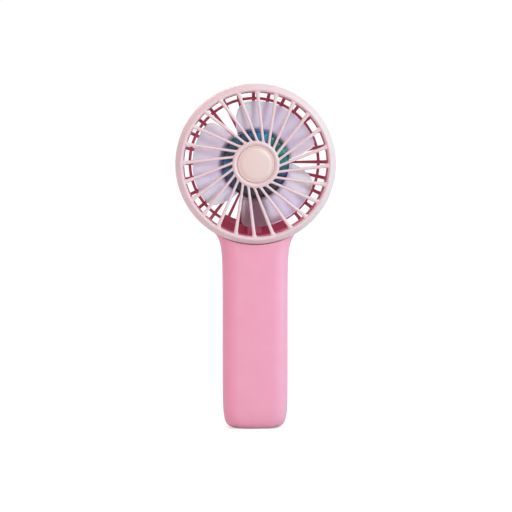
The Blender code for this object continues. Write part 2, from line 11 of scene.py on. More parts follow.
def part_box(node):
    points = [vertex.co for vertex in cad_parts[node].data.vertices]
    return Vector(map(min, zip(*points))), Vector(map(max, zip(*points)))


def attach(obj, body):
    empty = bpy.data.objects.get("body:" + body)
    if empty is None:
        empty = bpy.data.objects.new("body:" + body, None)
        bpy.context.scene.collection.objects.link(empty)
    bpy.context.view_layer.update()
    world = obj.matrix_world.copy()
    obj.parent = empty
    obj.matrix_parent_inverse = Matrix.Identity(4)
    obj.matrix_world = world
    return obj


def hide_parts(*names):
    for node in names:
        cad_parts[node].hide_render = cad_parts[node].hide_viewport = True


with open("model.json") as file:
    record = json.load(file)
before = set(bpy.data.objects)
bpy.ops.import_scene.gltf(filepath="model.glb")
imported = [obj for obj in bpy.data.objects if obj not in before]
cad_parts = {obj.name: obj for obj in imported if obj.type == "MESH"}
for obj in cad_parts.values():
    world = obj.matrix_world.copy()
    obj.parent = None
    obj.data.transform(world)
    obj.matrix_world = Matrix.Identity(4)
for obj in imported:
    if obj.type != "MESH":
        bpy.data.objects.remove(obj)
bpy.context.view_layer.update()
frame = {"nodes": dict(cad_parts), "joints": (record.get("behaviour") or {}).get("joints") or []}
NODES = frame["nodes"]

# ---------------------------------------------------------------- places, in millimetres, from the frame


def node_box(name):
    low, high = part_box(name)
    return low * 1000.0, high * 1000.0


HEAD_Z = [j for j in frame["joints"] if j["name"] == "impeller_spin"][0]["pos_m"][2] * 1000.0
BUTTON_LOW, BUTTON_HIGH = node_box("power_button")
BUTTON_Z = (BUTTON_LOW.z + BUTTON_HIGH.z) / 2
SOCKET_LOW, SOCKET_HIGH = node_box("usb_socket")
USB_Z = (SOCKET_LOW.z + SOCKET_HIGH.z) / 2
PIPE_LOW, PIPE_HIGH = node_box("light_pipe")
LED_Z = (PIPE_LOW.z + PIPE_HIGH.z) / 2
SCREWS = []
for i in range(1, 5):
    low, high = node_box("case_screw_%d" % i)
    SCREWS.append(((low.x + high.x) / 2, (low.z + high.z) / 2))

RIM_R = 47.5
RIB_COUNT, RIB_OFFSET, RIB_PHASE = 24, 5.85, -1.0
BORE_R, DRUM_R, POCKET_R, DRUM_HALF = 43.3, 46.7, 47.68, 9.0
SPOKE_COUNT, SPOKE_PHASE = 28, 0.6
WEDGE = (254.5, 285.5)
NECK_PANEL = (241.0, 297.0)
HUB_R, TIP_R = 20.0, 37.2
STATIONS = (
    (0.0, 13.4), (0.6, 15.2), (2.0, 16.9), (4.5, 18.1), (8.0, 18.8), (13.0, 19.2), (92.0, 19.45),
    (101.0, 19.7), (105.0, 20.0), (108.5, 20.55), (111.5, 21.4), (114.0, 22.5), (116.0, 23.9),
    (118.0, 26.0),
)


def res(full):
    return full


# ---------------------------------------------------------------- mesh helpers, in millimetres
def to_object(name, bm):
    bmesh.ops.remove_doubles(bm, verts=bm.verts, dist=1e-5)
    bmesh.ops.recalc_face_normals(bm, faces=bm.faces)
    mesh = bpy.data.meshes.new(name)
    bm.to_mesh(mesh)
    bm.free()
    obj = bpy.data.objects.new(name, mesh)
    bpy.context.scene.collection.objects.link(obj)
    return obj


def fillet(points, radius, steps=4):
    """Rounds the corners of a closed outline. radius is one number, or one for each corner."""
    out = []
    n = len(points)
    for i in range(n):
        r = radius[i] if hasattr(radius, "__len__") else radius
        p, a, b = Vector(points[i]), Vector(points[i - 1]), Vector(points[(i + 1) % n])
        if r <= 0:
            out.append(p)
            continue
        u, v = a - p, b - p
        lu, lv = u.length, v.length
        u.normalize()
        v.normalize()
        angle = math.acos(max(-1.0, min(1.0, u.dot(v))))
        t = min(r / math.tan(angle / 2), 0.48 * lu, 0.48 * lv)
        rr = t * math.tan(angle / 2)
        middle = u + v
        if middle.length < 1e-6:
            out += [p.copy() for _ in range(steps + 1)]
            continue
        c = p + middle.normalized() * (rr / math.sin(angle / 2))
        s, e = p + u * t, p + v * t
        a0 = math.atan2(s.y - c.y, s.x - c.x)
        a1 = math.atan2(e.y - c.y, e.x - c.x)
        d = (a1 - a0 + math.pi) % (2 * math.pi) - math.pi
        for k in range(steps + 1):
            w = a0 + d * k / steps
            out.append(Vector((c.x + rr * math.cos(w), c.y + rr * math.sin(w))))
    return out


def polar(radius, degrees, y, centre_z=None):
    a = math.radians(degrees)
    return Vector((radius * math.cos(a), y, (HEAD_Z if centre_z is None else centre_z) + radius * math.sin(a)))


def about_y(x, z):
    def place(r, degrees, y):
        a = math.radians(degrees)
        return Vector((x + r * math.cos(a), y, z + r * math.sin(a)))
    return place


def about_z(x, y):
    def place(r, degrees, h):
        a = math.radians(degrees)
        return Vector((x + r * math.cos(a), y + r * math.sin(a), h))
    return place


def revolve(name, profile, sides, start=0.0, sweep=360.0, place=polar):
    """Turns a closed (radius, y) outline around an axis; points on the axis become poles."""
    bm = bmesh.new()
    full = abs(sweep - 360.0) < 1e-6
    count = sides if full else sides + 1
    rings = []
    for i in range(count):
        a = start + sweep * i / sides
        ring = []
        for j, (r, y) in enumerate(profile):
            if r < 1e-6 and i > 0:
                ring.append(rings[0][j])
            else:
                ring.append(bm.verts.new(place(max(r, 0.0), a, y)))
        rings.append(ring)
    n = len(profile)
    for i in range(sides):
        one, two = rings[i], rings[(i + 1) % count]
        for j in range(n):
            k = (j + 1) % n
            corners = []
            for v in (one[j], one[k], two[k], two[j]):
                if v not in corners:
                    corners.append(v)
            if len(corners) > 2:
                bm.faces.new(corners)
    if not full:
        bm.faces.new(rings[0])
        bm.faces.new(rings[-1])
    return to_object(name, bm)


def loft(name, loops, caps=True, closed=False):
    """Skins closed loops of equal point count and closes both ends, or joins the last to the first."""
    bm = bmesh.new()
    rows = [[bm.verts.new(p) for p in loop] for loop in loops]
    n = len(rows[0])
    pairs = list(zip(rows, rows[1:]))
    if closed:
        pairs.append((rows[-1], rows[0]))
    for lower, upper in pairs:
        for j in range(n):
            k = (j + 1) % n
            bm.faces.new((lower[j], lower[k], upper[k], upper[j]))
    if caps and not closed:
        bm.faces.new(rows[0])
        bm.faces.new(rows[-1])
    return to_object(name, bm)


def disc(name, radius, y0, y1, sides, place=polar, start=0.0):
    return loft(name, [[place(radius, start + 360.0 * i / sides, y) for i in range(sides)] for y in (y0, y1)])


def tube(name, inner, outer, y0, y1, sides, place=polar, start=0.0):
    return revolve(name, [(inner, y0), (outer, y0), (outer, y1), (inner, y1)], sides, start, place=place)


def box(name, low, high):
    (x0, y0, z0), (x1, y1, z1) = low, high
    return loft(name, [
        [Vector((x0, y0, z)), Vector((x1, y0, z)), Vector((x1, y1, z)), Vector((x0, y1, z))]
        for z in (z0, z1)])


def soft_box(name, low, high, radius, steps=3):
    """A box with all its edges rounded."""
    bm = bmesh.new()
    bmesh.ops.create_cube(bm, size=1.0)
    size = Vector(high) - Vector(low)
    centre = (Vector(high) + Vector(low)) / 2
    for v in bm.verts:
        v.co = Vector((v.co.x * size.x, v.co.y * size.y, v.co.z * size.z)) + centre
    bmesh.ops.bevel(bm, geom=list(bm.edges), offset=radius, segments=steps, profile=0.5, affect="EDGES")
    return to_object(name, bm)


def spline(points, step):
    """A smooth curve through the given points, as a dense list of points."""
    pts = [Vector(p) for p in points]
    pts = [pts[0] * 2 - pts[1]] + pts + [pts[-1] * 2 - pts[-2]]
    out = []
    for i in range(1, len(pts) - 2):
        p0, p1, p2, p3 = pts[i - 1], pts[i], pts[i + 1], pts[i + 2]
        t0 = 0.0
        t1 = t0 + math.sqrt((p1 - p0).length)
        t2 = t1 + math.sqrt((p2 - p1).length)
        t3 = t2 + math.sqrt((p3 - p2).length)
        n = max(1, math.ceil((p2 - p1).length / step))
        for k in range(n):
            t = t1 + (t2 - t1) * k / n
            a1 = p0 * ((t1 - t) / (t1 - t0)) + p1 * ((t - t0) / (t1 - t0))
            a2 = p1 * ((t2 - t) / (t2 - t1)) + p2 * ((t - t1) / (t2 - t1))
            a3 = p2 * ((t3 - t) / (t3 - t2)) + p3 * ((t - t2) / (t3 - t2))
            b1 = a1 * ((t2 - t) / (t2 - t0)) + a2 * ((t - t0) / (t2 - t0))
            b2 = a2 * ((t3 - t) / (t3 - t1)) + a3 * ((t - t1) / (t3 - t1))
            out.append(b1 * ((t2 - t) / (t2 - t1)) + b2 * ((t - t1) / (t2 - t1)))
    out.append(pts[-2])
    return out


def sweep(name, path, section, sides_dir):
    """Sweeps closed (across, up) sections along a path of points. section(i) gives the outline at
    station i; sides_dir is the fixed sideways direction."""
    loops = []
    for i, p in enumerate(path):
        ahead = path[min(i + 1, len(path) - 1)] - path[max(i - 1, 0)]
        ahead.normalize()
        up = sides_dir.cross(ahead).normalized()
        loops.append([p + sides_dir * a + up * b for a, b in section(i)])
    return loft(name, loops)


def bake(obj):
    bpy.context.view_layer.update()
    graph = bpy.context.evaluated_depsgraph_get()
    mesh = bpy.data.meshes.new_from_object(obj.evaluated_get(graph))
    obj.modifiers.clear()
    obj.data = mesh
    return obj


def combine(obj, operation, *tools):
    for tool in tools:
        mod = obj.modifiers.new("combine", "BOOLEAN")
        mod.operation = operation
        mod.object = tool
        mod.solver = "EXACT"
        bake(obj)
        bpy.data.objects.remove(tool, do_unlink=True)
    return obj


def join(*objs):
    bm = bmesh.new()
    for obj in objs:
        bm.from_mesh(obj.data)
    name = objs[0].name
    for obj in objs:
        bpy.data.objects.remove(obj, do_unlink=True)
    return to_object(name + "_group", bm)


def tidy(obj):
    """Welds slivers left by the cuts and drops faces with no area."""
    bm = bmesh.new()
    bm.from_mesh(obj.data)
    bmesh.ops.remove_doubles(bm, verts=bm.verts, dist=2e-4)
    bmesh.ops.dissolve_degenerate(bm, edges=bm.edges, dist=1e-4)
    bmesh.ops.recalc_face_normals(bm, faces=bm.faces)
    bm.to_mesh(obj.data)
    bm.free()
    return obj


def finish(obj, name, body, mats, nodes=(), angle=35.0, weighted=True, pick=None):
    """Names a piece, turns it into metres, gives it its materials and puts it on its body."""
    obj.name = name
    mesh = obj.data
    mesh.name = name
    mats = mats if isinstance(mats, (list, tuple)) else [mats]
    mesh.materials.clear()
    for mat in mats:
        mesh.materials.append(mat)
    for poly in mesh.polygons:
        poly.material_index = pick(poly.center, poly.normal) if pick else 0
    mesh.transform(Matrix.Scale(0.001, 4))
    mesh.shade_smooth()
    mesh.set_sharp_from_angle(angle=math.radians(angle))
    if weighted:
        mod = obj.modifiers.new("even_normals", "WEIGHTED_NORMAL")
        mod.keep_sharp = True
        mod.weight = 60
    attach(obj, body)
    if nodes:
        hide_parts(*nodes)
    return obj


# ---------------------------------------------------------------- materials
class Mat:
    """A small builder for node materials."""

    def __init__(self, name):
        self.mat = bpy.data.materials.new(name)
        self.mat.use_nodes = True
        self.tree = self.mat.node_tree
        self.shader = self.tree.nodes["Principled BSDF"]
        self.out = self.tree.nodes["Material Output"]
        self.coord = self.add("ShaderNodeTexCoord").outputs["Object"]

    def add(self, kind, **props):
        node = self.tree.nodes.new(kind)
        for key, value in props.items():
            setattr(node, key, value)
        return node

    def link(self, a, b):
        self.tree.links.new(a, b)

    def set(self, **values):
        for key, value in values.items():
            socket = self.shader.inputs[key.replace("_", " ")]
            if isinstance(value, tuple) and len(value) == 3 and socket.type == "RGBA":
                value = (*value, 1.0)
            if hasattr(value, "is_linked"):
                self.link(value, socket)
            else:
                socket.default_value = value
        return self

    def noise(self, scale, detail=2.0, rough=0.5, distortion=0.0, vector=None):
        node = self.add("ShaderNodeTexNoise")
        node.inputs["Scale"].default_value = scale
        node.inputs["Detail"].default_value = detail
        node.inputs["Roughness"].default_value = rough
        node.inputs["Distortion"].default_value = distortion
        self.link(vector if vector is not None else self.coord, node.inputs["Vector"])
        return node.outputs["Fac"]

    def ramp(self, factor, stops, interpolation="LINEAR"):
        node = self.add("ShaderNodeValToRGB")
        ramp = node.color_ramp
        ramp.interpolation = interpolation
        while len(ramp.elements) < len(stops):
            ramp.elements.new(0.5)
        for element, (at, color) in zip(ramp.elements, stops):
            element.position = at
            element.color = (*color, 1.0) if len(color) == 3 else color
        self.link(factor, node.inputs["Fac"])
        return node.outputs["Color"]

    def span(self, factor, low, high, from_low=0.0, from_high=1.0):
        node = self.add("ShaderNodeMapRange")
        node.inputs["From Min"].default_value = from_low
        node.inputs["From Max"].default_value = from_high
        node.inputs["To Min"].default_value = low
        node.inputs["To Max"].default_value = high
        self.link(factor, node.inputs["Value"])
        return node.outputs["Result"]

    def maths(self, operation, a, b=None, c=None):
        node = self.add("ShaderNodeMath", operation=operation)
        for i, value in enumerate((a, b, c)):
            if value is None:
                continue
            if hasattr(value, "is_linked"):
                self.link(value, node.inputs[i])
            else:
                node.inputs[i].default_value = value
        return node.outputs["Value"]

    def mix(self, factor, a, b, blend="MIX"):
        node = self.add("ShaderNodeMix", data_type="RGBA", blend_type=blend)
        node.clamp_factor = True
        for index, value in ((0, factor), (6, a), (7, b)):
            socket = node.inputs[index]
            if hasattr(value, "is_linked"):
                self.link(value, socket)
            elif index == 0:
                socket.default_value = value
            else:
                socket.default_value = (*value, 1.0) if len(value) == 3 else value
        return node.outputs[2]

    def bump(self, height, strength, distance, normal=None):
        node = self.add("ShaderNodeBump")
        node.inputs["Strength"].default_value = strength
        node.inputs["Distance"].default_value = distance
        self.link(height, node.inputs["Height"])
        if normal is not None:
            self.link(normal, node.inputs["Normal"])
        return node.outputs["Normal"]

    def split(self, vector=None):
        node = self.add("ShaderNodeSeparateXYZ")
        self.link(vector if vector is not None else self.coord, node.inputs[0])
        return node.outputs


def moulded(name, color, shade, light, rough=0.38, grain=0.25, grain_scale=2600.0, mottle=70.0, sss=0.0,
            coat=0.0):
    """Injection-moulded plastic: fine spark-eroded grain, faint flow mottling, and edges rubbed a
    little lighter and shinier."""
    m = Mat(name)
    flow = m.noise(mottle, 3.0, 0.55, 0.6)
    drop = tuple(0.55 * c + 0.45 * s for c, s in zip(color, shade))
    lift = tuple(0.88 * c + 0.12 * l for c, l in zip(color, light))
    base = m.ramp(flow, [(0.30, drop), (0.50, color), (0.70, lift)])
    edge = m.add("ShaderNodeNewGeometry").outputs["Pointiness"]
    worn = m.span(edge, 0.0, 1.0, 0.515, 0.60)
    rub = m.maths("MULTIPLY", worn, m.span(m.noise(420.0, 3.0), 0.1, 0.7, 0.35, 0.65))
    base = m.mix(m.maths("MULTIPLY", rub, 0.55), base, light)
    fine = m.noise(grain_scale, 2.0, 0.6)
    roughness = m.maths("ADD", m.span(m.noise(260.0, 2.0), rough - 0.04, rough + 0.05), m.maths("MULTIPLY", rub, -0.08))
    m.set(Base_Color=base, Roughness=roughness, IOR=1.49)
    m.set(Normal=m.bump(fine, grain, 0.00003))
    if sss:
        m.set(Subsurface_Weight=sss, Subsurface_Radius=(1.0, 0.45, 0.5), Subsurface_Scale=0.0015)
    if coat:
        m.set(Coat_Weight=coat, Coat_Roughness=0.12)
    return m.mat


def metal(name, color, rough, brushed=0.0, axis="Y", dark=0.75):
    """Metal with faint machining lines and slightly dull patches."""
    m = Mat(name)
    patches = m.noise(180.0, 3.0, 0.6)
    base = m.mix(m.span(patches, 0.0, 1.0, 0.35, 0.7), tuple(c * dark for c in color), color)
    m.set(Base_Color=base, Metallic=1.0, Roughness=m.span(m.noise(500.0, 2.0), rough - 0.06, rough + 0.08))
    if brushed:
        mapping = m.add("ShaderNodeMapping")
        mapping.inputs["Scale"].default_value = {"Y": (1, 14, 1), "Z": (1, 1, 14), "X": (14, 1, 1)}[axis]
        m.link(m.coord, mapping.inputs["Vector"])
        lines = m.noise(900.0, 2.0, 0.5, vector=mapping.outputs["Vector"])
        m.set(Normal=m.bump(lines, brushed, 0.00002))
    return m.mat


PALE = moulded("pale_pink_moulded", (0.775, 0.545, 0.570), (0.750, 0.518, 0.544), (0.840, 0.645, 0.655),
               rough=0.36, grain=0.18, sss=0.05)
BADGE = moulded("pale_pink_badge", (0.790, 0.556, 0.532), (0.775, 0.536, 0.512), (0.845, 0.650, 0.620),
                rough=0.34, grain=0.12, mottle=40.0)
PINK = moulded("pink_moulded", (0.845, 0.325, 0.452), (0.825, 0.305, 0.430), (0.890, 0.425, 0.545),
               rough=0.42, grain=0.30, sss=0.06)
# the handle's pink made darker and more saturated: painted shade and bounce light, used for the rear grille and the
# head's bore
SHADED_PINK = moulded("pink_painted_shade", (0.780, 0.135, 0.250), (0.740, 0.115, 0.225), (0.860, 0.300, 0.420),
               rough=0.38, grain=0.22)
# painted shadow: a nearly dark pink for the inner face of the wide lead spoke, standing in for the shade that falls
# there behind the blades
DUCT_SHADOW = moulded("duct_painted_shadow", (0.380, 0.030, 0.072), (0.350, 0.026, 0.064), (0.520, 0.085, 0.145),
               rough=0.45, grain=0.22)
BUTTON = moulded("button_moulded", (0.790, 0.575, 0.570), (0.770, 0.550, 0.545), (0.850, 0.680, 0.660),
                 rough=0.30, grain=0.10)
WHITE = moulded("white_moulded", (0.78, 0.78, 0.75), (0.72, 0.72, 0.69), (0.85, 0.85, 0.83), rough=0.42)
BLACK = moulded("black_moulded", (0.022, 0.022, 0.024), (0.016, 0.016, 0.017), (0.06, 0.06, 0.065), rough=0.48)
STEEL = metal("plated_steel", (0.62, 0.62, 0.64), 0.26, 0.25)
SCREW = metal("black_zinc", (0.30, 0.30, 0.31), 0.34, 0.15)
BRONZE = metal("sintered_bronze", (0.50, 0.33, 0.16), 0.50, 0.30)
NICKEL = metal("nickel_strip", (0.66, 0.63, 0.58), 0.30, 0.30, "X")
GOLD = metal("gold_contact", (0.78, 0.56, 0.22), 0.24)
FERRITE = metal("pressed_ferrite", (0.07, 0.07, 0.08), 0.62, 0.20)


def laminations():
    m = Mat("silicon_steel_laminations")
    wave = m.add("ShaderNodeTexWave", wave_type="BANDS", bands_direction="Y")
    wave.inputs["Scale"].default_value = 320.0
    wave.inputs["Distortion"].default_value = 0.4
    m.link(m.coord, wave.inputs["Vector"])
    m.set(Base_Color=m.mix(wave.outputs["Fac"], (0.14, 0.14, 0.15), (0.36, 0.36, 0.38)), Metallic=1.0,
          Roughness=m.span(m.noise(300.0), 0.38, 0.55), Normal=m.bump(wave.outputs["Fac"], 0.4, 0.0001))
    return m.mat


def windings():
    m = Mat("enamelled_windings")
    wave = m.add("ShaderNodeTexWave", wave_type="RINGS", rings_direction="Y", wave_profile="SIN")
    wave.inputs["Scale"].default_value = 900.0
    m.link(m.coord, wave.inputs["Vector"])
    m.set(Base_Color=m.mix(wave.outputs["Fac"], (0.33, 0.10, 0.035), (0.72, 0.31, 0.13)), Metallic=0.85,
          Roughness=m.span(m.noise(500.0), 0.22, 0.36), Normal=m.bump(wave.outputs["Fac"], 0.7, 0.0002))
    return m.mat


def solder_mask():
    m = Mat("solder_mask")
    cells = m.add("ShaderNodeTexVoronoi", feature="F1", distance="CHEBYCHEV")
    cells.inputs["Scale"].default_value = 420.0
    m.link(m.coord, cells.inputs["Vector"])
    tracks = m.ramp(cells.outputs["Distance"], [(0.42, (0.012, 0.105, 0.050)), (0.47, (0.030, 0.190, 0.090))])
    m.set(Base_Color=m.mix(m.span(m.noise(90.0), 0.0, 0.4), tracks, (0.010, 0.085, 0.040)),
          Roughness=m.span(m.noise(700.0), 0.26, 0.40), Normal=m.bump(cells.outputs["Distance"], 0.15, 0.00005))
    return m.mat


def cell_wrap():
    m = Mat("cell_wrap")
    folds = m.noise(240.0, 3.0, 0.6, 0.8)
    z = m.split()[2]
    ring = m.span(z, 0.0, 1.0, 0.0660, 0.0666)
    m.set(Base_Color=m.mix(ring, m.mix(folds, (0.035, 0.22, 0.36), (0.06, 0.31, 0.46)), (0.80, 0.80, 0.78)),
          Roughness=m.span(folds, 0.24, 0.42), Normal=m.bump(folds, 0.25, 0.0001), Coat_Weight=0.3)
    return m.mat


def foam():
    m = Mat("cell_foam")
    cells = m.add("ShaderNodeTexVoronoi")
    cells.inputs["Scale"].default_value = 1500.0
    m.link(m.coord, cells.inputs["Vector"])
    m.set(Base_Color=m.mix(cells.outputs["Distance"], (0.04, 0.04, 0.04), (0.13, 0.13, 0.13)), Roughness=0.95,
          Normal=m.bump(cells.outputs["Distance"], 0.6, 0.0003))
    return m.mat


def insulation(name, color):
    m = Mat(name)
    patches = m.noise(350.0, 2.0)
    m.set(Base_Color=m.mix(patches, tuple(c * 0.75 for c in color), color), Roughness=m.span(patches, 0.38, 0.52),
          Normal=m.bump(m.noise(1800.0), 0.2, 0.00005), IOR=1.5)
    return m.mat


def clear_plastic():
    m = Mat("clear_light_pipe")
    swirl = m.noise(600.0, 2.0)
    m.set(Base_Color=m.mix(swirl, (0.86, 0.88, 0.90), (0.96, 0.97, 0.98)), Roughness=m.span(swirl, 0.08, 0.20),
          Transmission_Weight=0.35, IOR=1.49)
    return m.mat


def blade_plastic():
    """Frosted see-through pearl plastic with a thin iridescent film. Its tint drifts from lavender to
    a greyish teal over the blade; the front edge carries a painted highlight and the root painted shade."""
    m = Mat("pearl_blade")
    across = m.add("ShaderNodeAttribute", attribute_name="across", attribute_type="GEOMETRY").outputs["Fac"]
    outward = m.add("ShaderNodeAttribute", attribute_name="outward", attribute_type="GEOMETRY").outputs["Fac"]
    drift = m.noise(38.0, 2.0, 0.5, 0.6)
    body = m.ramp(drift, [(0.32, (0.735, 0.670, 0.860)), (0.50, (0.765, 0.680, 0.860)), (0.70, (0.795, 0.705, 0.875))])
    # greyish teal gathers towards the tip and behind the middle of the blade
    patch = m.maths("MULTIPLY", m.span(outward, 0.0, 1.0, 0.30, 1.0), m.span(drift, 0.0, 1.0, 0.42, 0.62))
    band = m.maths("MULTIPLY", m.span(across, 0.0, 1.0, 0.62, 0.90), m.span(outward, 0.25, 1.0, 0.1, 0.9))
    teal = m.maths("MAXIMUM", m.maths("MULTIPLY", patch, 0.75), m.maths("MULTIPLY", band, 0.85))
    tint = m.mix(teal, body, (0.700, 0.745, 0.770))
    # painted shade with a painted blue glint darkens the blade towards its root, where it meets the hub
    root_shade = m.span(outward, 1.0, 0.0, -0.02, 0.17)
    tint = m.mix(m.maths("MULTIPLY", root_shade, 0.60), tint, (0.160, 0.260, 0.420))
    # painted highlight: the blade is lightened towards a pale pink along its front edge
    thin = m.span(across, 1.0, 0.0, 0.0, 0.10)
    tint = m.mix(m.maths("MULTIPLY", thin, 0.80), tint, (0.990, 0.880, 0.930))
    pearl = m.noise(5200.0, 1.0, 0.5)
    normal = m.bump(pearl, 0.10, 0.00003)
    film = m.span(m.noise(60.0, 2.0, 0.5, 1.2), 280.0, 420.0)
    m.set(Base_Color=tint, Roughness=m.span(m.noise(300.0), 0.38, 0.43), IOR=1.36, Normal=normal,
          Specular_IOR_Level=0.32, Transmission_Weight=0.965, Thin_Film_Thickness=film, Thin_Film_IOR=1.48,
          Coat_Weight=0.12, Coat_Roughness=0.10, Coat_Tint=(0.95, 0.93, 1.0))
    through = m.add("ShaderNodeBsdfTranslucent")
    m.link(m.mix(1.0, tint, (1.05, 1.02, 1.05), "MULTIPLY"), through.inputs["Color"])
    m.link(normal, through.inputs["Normal"])
    last = m.add("ShaderNodeMixShader")
    last.inputs["Fac"].default_value = 0.03
    m.link(m.shader.outputs["BSDF"], last.inputs[1])
    m.link(through.outputs["BSDF"], last.inputs[2])
    m.link(last.outputs["Shader"], m.out.inputs["Surface"])
    return m.mat


def hub_painted_glints():
    """The same moulding over the motor, its colour painted light: blue and teal painted glints of the film in turn
    around it, between dark stretches and near-black streaks of painted shade.
    """
    m = Mat("pearl_hub_painted_glints")
    place = m.split()
    around = m.maths("ARCTAN2", m.maths("SUBTRACT", place[2], HEAD_Z / 1000.0), place[0])
    around = m.maths("MULTIPLY", around, 0.5 / math.pi)
    drift = m.noise(75.0, 2.0, 0.55, 1.0)
    turn = m.maths("FRACT", m.maths("ADD", around, m.span(drift, 0.98, 1.02, 0.3, 0.7)))
    # painted glints and shade: blue and teal patches between dark stretches around the hub
    color = m.ramp(turn, [
        (0.00, (0.040, 0.380, 0.340)), (0.06, (0.050, 0.420, 0.350)), (0.12, (0.070, 0.150, 0.150)),
        (0.16, (0.050, 0.380, 0.380)), (0.20, (0.080, 0.460, 0.860)), (0.25, (0.075, 0.400, 0.820)),
        (0.29, (0.045, 0.060, 0.170)), (0.38, (0.045, 0.300, 0.400)), (0.44, (0.040, 0.060, 0.120)),
        (0.50, (0.060, 0.240, 0.470)), (0.58, (0.060, 0.190, 0.440)), (0.64, (0.040, 0.045, 0.090)),
        (0.76, (0.050, 0.024, 0.036)), (0.86, (0.060, 0.055, 0.080)), (0.94, (0.050, 0.090, 0.360)),
        (1.00, (0.030, 0.300, 0.260))])
    # near-black streaks of painted shade running around the hub
    shade_streak = m.add("ShaderNodeCombineXYZ")
    m.link(m.maths("MULTIPLY", around, 1.0), shade_streak.inputs[0])
    color = m.mix(m.span(m.noise(34.0, 3.0, 0.6, vector=shade_streak.outputs[0]), 0.15, 0.85, 0.44, 0.58), color,
                  (0.022, 0.018, 0.032))
    m.set(Base_Color=color, Metallic=0.35, Roughness=m.span(m.noise(300.0), 0.20, 0.30), IOR=1.58,
          Coat_Weight=0.35, Coat_Roughness=0.08, Coat_Tint=(0.88, 0.95, 1.0),
          Thin_Film_Thickness=m.span(drift, 280.0, 460.0), Thin_Film_IOR=1.6)
    return m.mat


BLADE, HUB = blade_plastic(), hub_painted_glints()
LAMINATIONS, WINDINGS, BOARD, WRAP, FOAM = laminations(), windings(), solder_mask(), cell_wrap(), foam()
RED, LEAD_BLACK = insulation("red_lead", (0.60, 0.02, 0.02)), insulation("black_lead", (0.025, 0.025, 0.025))
CLEAR = clear_plastic()

CARRIED = {
    "rotor_yoke": STEEL, "rotor_magnet": FERRITE, "motor_shaft": STEEL, "shaft_clip": SCREW,
    "bearing_tube": WHITE, "front_bearing": BRONZE, "rear_bearing": BRONZE, "thrust_pad": BLACK,
    "stator_core": LAMINATIONS, "motor_pcb": BOARD, "battery_cell": WRAP, "battery_tab_top": NICKEL,
    "battery_tab_bottom": NICKEL, "battery_pad": FOAM, "main_pcb": BOARD, "tact_switch": BLACK,
    "switch_plunger": WHITE, "led_1": WHITE, "led_2": WHITE, "led_3": WHITE, "charge_ic": BLACK,
    "power_inductor": FERRITE, "battery_connector": WHITE, "motor_connector": WHITE,
    "motor_lead_red": RED, "motor_lead_black": LEAD_BLACK, "battery_lead_red": RED,
    "battery_lead_black": LEAD_BLACK,
    "stator_coil_1": WINDINGS, "stator_coil_2": WINDINGS, "stator_coil_3": WINDINGS, "stator_coil_4": WINDINGS,
}
for name, mat in CARRIED.items():
    node = NODES[name]
    if not node.material_slots:
        node.data.materials.append(mat)
    for slot in node.material_slots:
        slot.material = mat


# ================================================================ front grille
ROUND = res(192)
rim_outline = fillet(
    [(42.9, -9.3), (42.7, -15.9), (43.5, -17.3), (44.6, -17.3), (47.5, -12.9), (47.42, -9.3), (45.9, -9.3),
     (45.9, -13.4), (44.4, -13.4), (44.4, -9.3)],
    [0.35, 0.7, 0.8, 2.8, 3.2, 0.35, 0.2, 0.3, 0.3, 0.2], res(7))
hub_outline = fillet(
    [(0, -14.2), (0, -15.2), (11.06, -15.2), (11.06, -16.55), (11.35, -16.72), (12.55, -17.72), (13.95, -17.0),
     (13.9, -14.2)],
    [0, 0, 0.1, 0.05, 0.5, 0.7, 0.9, 0.4], res(5))
grille = join(revolve("rim", rim_outline, ROUND, 0.4), revolve("hub", hub_outline, res(96), 0.7))
ribs = []
for k in range(RIB_COUNT):
    end = math.radians(15.0 * k + RIB_PHASE)
    turn = end + math.asin(RIB_OFFSET / 43.9)
    along = Vector((math.cos(turn), 0, math.sin(turn)))
    side = Vector((math.sin(turn), 0, -math.cos(turn)))
    centre = Vector((0, 0, HEAD_Z)) + side * RIB_OFFSET
    s0, s1 = math.sqrt(12.9 ** 2 - RIB_OFFSET ** 2), math.sqrt(43.6 ** 2 - RIB_OFFSET ** 2)
    loops = []
    count = res(18)
    for i in range(count + 1):
        # stations crowd towards both ends, where the rib flares into the ring it meets
        f = 0.5 - 0.5 * math.cos(math.pi * i / count)
        s = s0 + (s1 - s0) * f
        half = 0.74 + 0.38 * f
        half += 0.70 * math.exp(-((s1 - 0.6 - s) / 0.9) ** 2) if s < s1 - 0.6 else 0.70
        half += 0.30 * math.exp(-((s - s0 - 0.9) / 0.8) ** 2) if s > s0 + 0.9 else 0.30
        crown = -17.12 if f < 0.97 else -17.0
        outline = fillet([(-half, -15.0), (half, -15.0), (0.88 * half, -16.55), (0, crown), (-0.88 * half, -16.55)],
                         [0.35, 0.35, 0.5, 1.1, 0.5], res(3))
        p = centre + along * s
        loops.append([p + side * a + Vector((0, y, 0)) for a, y in outline])
    ribs.append(loft("rib", loops))
combine(grille, "UNION", join(*ribs))
tidy(grille)
finish(grille, "front_grille_fine", "housing", PALE, ["front_grille"])

badge_profile = [(0, -15.5)] + [tuple(p) for p in fillet(
    [(10.8, -15.5), (11.0, -15.7), (10.95, -16.9), (9.7, -17.52)], [0.1, 0.15, 0.95, 0.5], res(6))]
for i in range(9, -1, -1):
    r = 9.3 * i / 10
    badge_profile.append((r, -17.58 - 0.42 * (1 - (r / 9.7) ** 2.4)))
badge = revolve("badge", badge_profile, res(128), 1.0)
finish(badge, "grille_badge_fine", "housing", BADGE, ["grille_badge"])


# ================================================================ shells
def widths(step):
    return [(p.x, p.y) for p in spline([(z, w) for z, w in STATIONS], step)]


PROFILE = widths(res(1.4))


def width_at(z):
    for (z0, w0), (z1, w1) in zip(PROFILE, PROFILE[1:]):
        if z0 <= z <= z1 and z1 > z0:
            return w0 + (w1 - w0) * (z - z0) / (z1 - z0)
    return PROFILE[-1][1]


